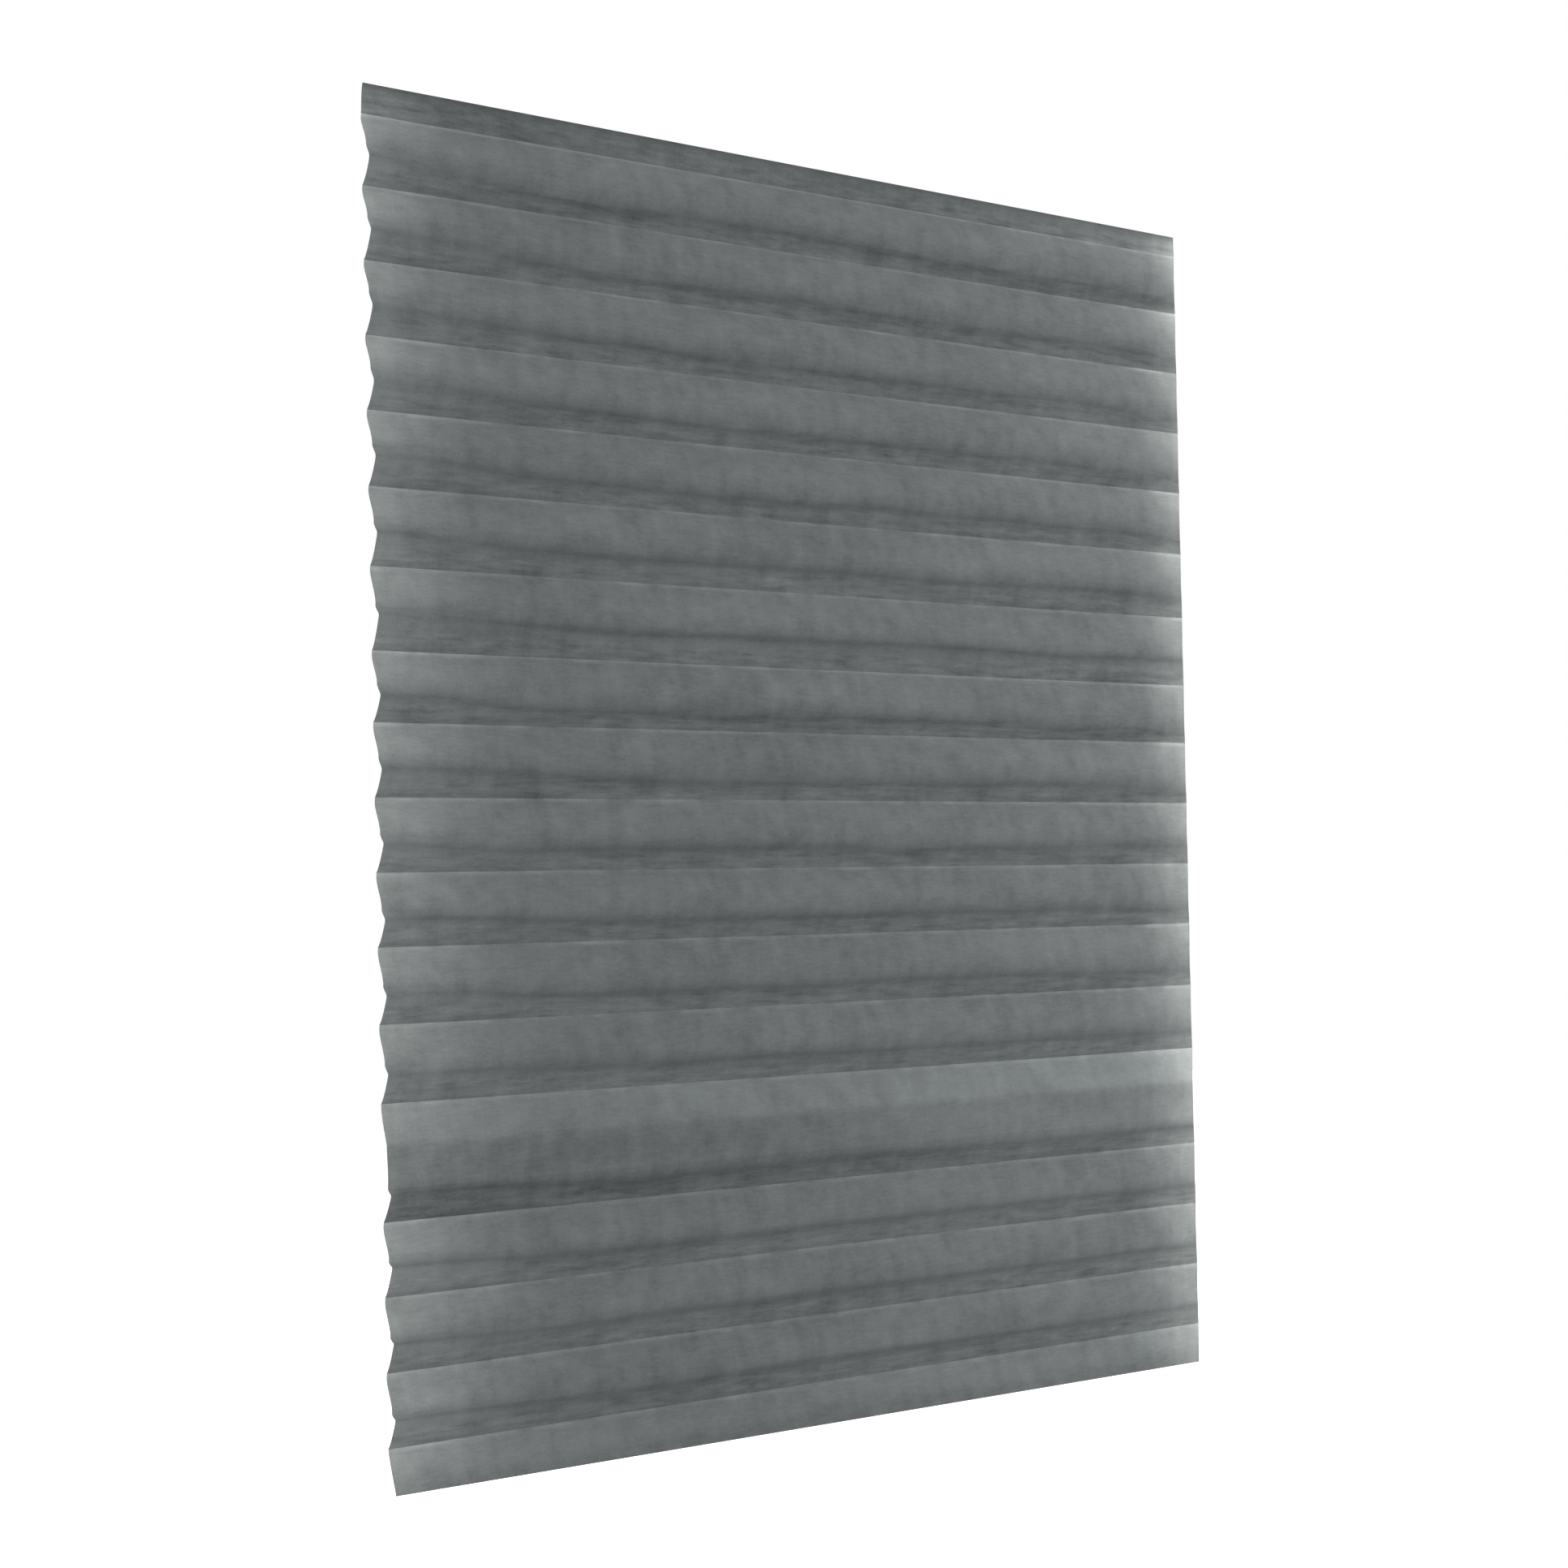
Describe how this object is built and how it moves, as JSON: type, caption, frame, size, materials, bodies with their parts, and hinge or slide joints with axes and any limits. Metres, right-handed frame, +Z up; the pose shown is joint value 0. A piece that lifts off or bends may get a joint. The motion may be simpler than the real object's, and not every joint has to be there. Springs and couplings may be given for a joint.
{
  "type": "pleated shade",
  "caption": "Pleated cloth window shade that hangs from an adhesive tape and folds up leaf by leaf.",
  "frame": {"origin": "middle of the glued face of the adhesive tape", "axes": "+Z up, +X along the width of the shade, -Y into the room, +Y out through the window"},
  "size_m": [1.22, 0.0228, 1.6081],
  "materials": {
    "cloth": "matte nonwoven polyester, cool grey",
    "tape": "off-white double-sided tape"
  },
  "bodies": {
    "root": {"adhesive_tape": "tape", "top_strip": "cloth"},
    "pleat_01_upper": {"pleat_01_upper": "cloth"},
    "pleat_01_lower": {"pleat_01_lower": "cloth"},
    "pleat_02_upper": {"pleat_02_upper": "cloth"},
    "pleat_02_lower": {"pleat_02_lower": "cloth"},
    "pleat_03_upper": {"pleat_03_upper": "cloth"},
    "pleat_03_lower": {"pleat_03_lower": "cloth"},
    "pleat_04_upper": {"pleat_04_upper": "cloth"},
    "pleat_04_lower": {"pleat_04_lower": "cloth"},
    "pleat_05_upper": {"pleat_05_upper": "cloth"},
    "pleat_05_lower": {"pleat_05_lower": "cloth"},
    "pleat_06_upper": {"pleat_06_upper": "cloth"},
    "pleat_06_lower": {"pleat_06_lower": "cloth"},
    "pleat_07_upper": {"pleat_07_upper": "cloth"},
    "pleat_07_lower": {"pleat_07_lower": "cloth"},
    "pleat_08_upper": {"pleat_08_upper": "cloth"},
    "pleat_08_lower": {"pleat_08_lower": "cloth"},
    "pleat_09_upper": {"pleat_09_upper": "cloth"},
    "pleat_09_lower": {"pleat_09_lower": "cloth"},
    "pleat_10_upper": {"pleat_10_upper": "cloth"},
    "pleat_10_lower": {"pleat_10_lower": "cloth"},
    "pleat_11_upper": {"pleat_11_upper": "cloth"},
    "pleat_11_lower": {"pleat_11_lower": "cloth"},
    "pleat_12_upper": {"pleat_12_upper": "cloth"},
    "pleat_12_lower": {"pleat_12_lower": "cloth"},
    "pleat_13_upper": {"pleat_13_upper": "cloth"},
    "pleat_13_lower": {"pleat_13_lower": "cloth"},
    "pleat_14_upper": {"pleat_14_upper": "cloth"},
    "pleat_14_lower": {"pleat_14_lower": "cloth"},
    "pleat_15_upper": {"pleat_15_upper": "cloth"},
    "pleat_15_lower": {"pleat_15_lower": "cloth"},
    "pleat_16_upper": {"pleat_16_upper": "cloth"},
    "pleat_16_lower": {"pleat_16_lower": "cloth"},
    "pleat_17_upper": {"pleat_17_upper": "cloth"},
    "pleat_17_lower": {"pleat_17_lower": "cloth"},
    "bottom_leaf": {"bottom_leaf": "cloth"}
  },
  "joints": [
    {"name": "back_crease_01", "type": "hinge", "parent": "root", "child": "pleat_01_upper", "pos_m": [0, -0.0019, -0.0098], "axis": [-1, 0, 0], "range_deg": [0, 63.01]},
    {"name": "front_crease_01", "type": "hinge", "parent": "pleat_01_upper", "child": "pleat_01_lower", "pos_m": [0, -0.0203, -0.05115], "axis": [-1, 0, 0], "range_deg": [-127, 0]},
    {"name": "back_crease_02", "type": "hinge", "parent": "pleat_01_lower", "child": "pleat_02_upper", "pos_m": [0, -0.0019, -0.0925], "axis": [-1, 0, 0], "range_deg": [0, 127.8]},
    {"name": "front_crease_02", "type": "hinge", "parent": "pleat_02_upper", "child": "pleat_02_lower", "pos_m": [0, -0.0203, -0.1355], "axis": [-1, 0, 0], "range_deg": [-128.7, 0]},
    {"name": "back_crease_03", "type": "hinge", "parent": "pleat_02_lower", "child": "pleat_03_upper", "pos_m": [0, -0.0019, -0.1785], "axis": [-1, 0, 0], "range_deg": [0, 128.7]},
    {"name": "front_crease_03", "type": "hinge", "parent": "pleat_03_upper", "child": "pleat_03_lower", "pos_m": [0, -0.0203, -0.22165], "axis": [-1, 0, 0], "range_deg": [-128.8, 0]},
    {"name": "back_crease_04", "type": "hinge", "parent": "pleat_03_lower", "child": "pleat_04_upper", "pos_m": [0, -0.0019, -0.2648], "axis": [-1, 0, 0], "range_deg": [0, 128.7]},
    {"name": "front_crease_04", "type": "hinge", "parent": "pleat_04_upper", "child": "pleat_04_lower", "pos_m": [0, -0.0203, -0.3078], "axis": [-1, 0, 0], "range_deg": [-128.7, 0]},
    {"name": "back_crease_05", "type": "hinge", "parent": "pleat_04_lower", "child": "pleat_05_upper", "pos_m": [0, -0.0019, -0.3508], "axis": [-1, 0, 0], "range_deg": [0, 129.1]},
    {"name": "front_crease_05", "type": "hinge", "parent": "pleat_05_upper", "child": "pleat_05_lower", "pos_m": [0, -0.0203, -0.3947], "axis": [-1, 0, 0], "range_deg": [-129.5, 0]},
    {"name": "back_crease_06", "type": "hinge", "parent": "pleat_05_lower", "child": "pleat_06_upper", "pos_m": [0, -0.0019, -0.4386], "axis": [-1, 0, 0], "range_deg": [0, 130.4]},
    {"name": "front_crease_06", "type": "hinge", "parent": "pleat_06_upper", "child": "pleat_06_lower", "pos_m": [0, -0.0203, -0.4844], "axis": [-1, 0, 0], "range_deg": [-131.2, 0]},
    {"name": "back_crease_07", "type": "hinge", "parent": "pleat_06_lower", "child": "pleat_07_upper", "pos_m": [0, -0.0019, -0.5302], "axis": [-1, 0, 0], "range_deg": [0, 132.3]},
    {"name": "front_crease_07", "type": "hinge", "parent": "pleat_07_upper", "child": "pleat_07_lower", "pos_m": [0, -0.0203, -0.5787], "axis": [-1, 0, 0], "range_deg": [-133.4, 0]},
    {"name": "back_crease_08", "type": "hinge", "parent": "pleat_07_lower", "child": "pleat_08_upper", "pos_m": [0, -0.0019, -0.6272], "axis": [-1, 0, 0], "range_deg": [0, 130.1]},
    {"name": "front_crease_08", "type": "hinge", "parent": "pleat_08_upper", "child": "pleat_08_lower", "pos_m": [0, -0.0203, -0.66825], "axis": [-1, 0, 0], "range_deg": [-126.7, 0]},
    {"name": "back_crease_09", "type": "hinge", "parent": "pleat_08_lower", "child": "pleat_09_upper", "pos_m": [0, -0.0019, -0.7093], "axis": [-1, 0, 0], "range_deg": [0, 127.7]},
    {"name": "front_crease_09", "type": "hinge", "parent": "pleat_09_upper", "child": "pleat_09_lower", "pos_m": [0, -0.0203, -0.7523], "axis": [-1, 0, 0], "range_deg": [-128.7, 0]},
    {"name": "back_crease_10", "type": "hinge", "parent": "pleat_09_lower", "child": "pleat_10_upper", "pos_m": [0, -0.0019, -0.7953], "axis": [-1, 0, 0], "range_deg": [0, 128.7]},
    {"name": "front_crease_10", "type": "hinge", "parent": "pleat_10_upper", "child": "pleat_10_lower", "pos_m": [0, -0.0203, -0.8383], "axis": [-1, 0, 0], "range_deg": [-128.7, 0]},
    {"name": "back_crease_11", "type": "hinge", "parent": "pleat_10_lower", "child": "pleat_11_upper", "pos_m": [0, -0.0019, -0.8813], "axis": [-1, 0, 0], "range_deg": [0, 128.5]},
    {"name": "front_crease_11", "type": "hinge", "parent": "pleat_11_upper", "child": "pleat_11_lower", "pos_m": [0, -0.0203, -0.924], "axis": [-1, 0, 0], "range_deg": [-128.4, 0]},
    {"name": "back_crease_12", "type": "hinge", "parent": "pleat_11_lower", "child": "pleat_12_upper", "pos_m": [0, -0.0019, -0.9667], "axis": [-1, 0, 0], "range_deg": [0, 129]},
    {"name": "front_crease_12", "type": "hinge", "parent": "pleat_12_upper", "child": "pleat_12_lower", "pos_m": [0, -0.0203, -1.01075], "axis": [-1, 0, 0], "range_deg": [-129.7, 0]},
    {"name": "back_crease_13", "type": "hinge", "parent": "pleat_12_lower", "child": "pleat_13_upper", "pos_m": [0, -0.0019, -1.0548], "axis": [-1, 0, 0], "range_deg": [0, 130.1]},
    {"name": "front_crease_13", "type": "hinge", "parent": "pleat_13_upper", "child": "pleat_13_lower", "pos_m": [0, -0.0203, -1.09975], "axis": [-1, 0, 0], "range_deg": [-130.5, 0]},
    {"name": "back_crease_14", "type": "hinge", "parent": "pleat_13_lower", "child": "pleat_14_upper", "pos_m": [0, -0.0019, -1.1447], "axis": [-1, 0, 0], "range_deg": [0, 140.8]},
    {"name": "front_crease_14", "type": "hinge", "parent": "pleat_14_upper", "child": "pleat_14_lower", "pos_m": [0, -0.0219, -1.23931], "axis": [-1, 0, 0], "range_deg": [-136.6, 0]},
    {"name": "back_crease_15", "type": "hinge", "parent": "pleat_14_lower", "child": "pleat_15_upper", "pos_m": [0, -0.0019, -1.27951], "axis": [-1, 0, 0], "range_deg": [0, 125.2]},
    {"name": "front_crease_15", "type": "hinge", "parent": "pleat_15_upper", "child": "pleat_15_lower", "pos_m": [0, -0.0203, -1.32216], "axis": [-1, 0, 0], "range_deg": [-128.3, 0]},
    {"name": "back_crease_16", "type": "hinge", "parent": "pleat_15_lower", "child": "pleat_16_upper", "pos_m": [0, -0.0019, -1.36481], "axis": [-1, 0, 0], "range_deg": [0, 128.4]},
    {"name": "front_crease_16", "type": "hinge", "parent": "pleat_16_upper", "child": "pleat_16_lower", "pos_m": [0, -0.0203, -1.40766], "axis": [-1, 0, 0], "range_deg": [-128.5, 0]},
    {"name": "back_crease_17", "type": "hinge", "parent": "pleat_16_lower", "child": "pleat_17_upper", "pos_m": [0, -0.0019, -1.45051], "axis": [-1, 0, 0], "range_deg": [0, 128.5]},
    {"name": "front_crease_17", "type": "hinge", "parent": "pleat_17_upper", "child": "pleat_17_lower", "pos_m": [0, -0.0203, -1.49326], "axis": [-1, 0, 0], "range_deg": [-128.4, 0]},
    {"name": "bottom_crease", "type": "hinge", "parent": "pleat_17_lower", "child": "bottom_leaf", "pos_m": [0, -0.0019, -1.53601], "axis": [-1, 0, 0], "range_deg": [0, 129]}
  ],
  "couplings": [
    {"joint": "front_crease_01", "follows": "back_crease_01", "ratio": -2},
    {"joint": "back_crease_02", "follows": "back_crease_01", "ratio": 2.013},
    {"joint": "front_crease_02", "follows": "back_crease_01", "ratio": -2.0261},
    {"joint": "back_crease_03", "follows": "back_crease_01", "ratio": 2.0272},
    {"joint": "front_crease_03", "follows": "back_crease_01", "ratio": -2.0284},
    {"joint": "back_crease_04", "follows": "back_crease_01", "ratio": 2.0272},
    {"joint": "front_crease_04", "follows": "back_crease_01", "ratio": -2.0261},
    {"joint": "back_crease_05", "follows": "back_crease_01", "ratio": 2.0328},
    {"joint": "front_crease_05", "follows": "back_crease_01", "ratio": -2.0396},
    {"joint": "back_crease_06", "follows": "back_crease_01", "ratio": 2.0531},
    {"joint": "front_crease_06", "follows": "back_crease_01", "ratio": -2.0667},
    {"joint": "back_crease_07", "follows": "back_crease_01", "ratio": 2.0843},
    {"joint": "front_crease_07", "follows": "back_crease_01", "ratio": -2.102},
    {"joint": "back_crease_08", "follows": "back_crease_01", "ratio": 2.0485},
    {"joint": "front_crease_08", "follows": "back_crease_01", "ratio": -1.9951},
    {"joint": "back_crease_09", "follows": "back_crease_01", "ratio": 2.0106},
    {"joint": "front_crease_09", "follows": "back_crease_01", "ratio": -2.0261},
    {"joint": "back_crease_10", "follows": "back_crease_01", "ratio": 2.0261},
    {"joint": "front_crease_10", "follows": "back_crease_01", "ratio": -2.0261},
    {"joint": "back_crease_11", "follows": "back_crease_01", "ratio": 2.0238},
    {"joint": "front_crease_11", "follows": "back_crease_01", "ratio": -2.0215},
    {"joint": "back_crease_12", "follows": "back_crease_01", "ratio": 2.0316},
    {"joint": "front_crease_12", "follows": "back_crease_01", "ratio": -2.0418},
    {"joint": "back_crease_13", "follows": "back_crease_01", "ratio": 2.0483},
    {"joint": "front_crease_13", "follows": "back_crease_01", "ratio": -2.0548},
    {"joint": "back_crease_14", "follows": "back_crease_01", "ratio": 2.2187},
    {"joint": "front_crease_14", "follows": "back_crease_01", "ratio": -2.1522},
    {"joint": "back_crease_15", "follows": "back_crease_01", "ratio": 1.9713},
    {"joint": "front_crease_15", "follows": "back_crease_01", "ratio": -2.0207},
    {"joint": "back_crease_16", "follows": "back_crease_01", "ratio": 2.0222},
    {"joint": "front_crease_16", "follows": "back_crease_01", "ratio": -2.0238},
    {"joint": "back_crease_17", "follows": "back_crease_01", "ratio": 2.023},
    {"joint": "front_crease_17", "follows": "back_crease_01", "ratio": -2.0222},
    {"joint": "bottom_crease", "follows": "back_crease_01", "ratio": 2.0307}
  ]
}
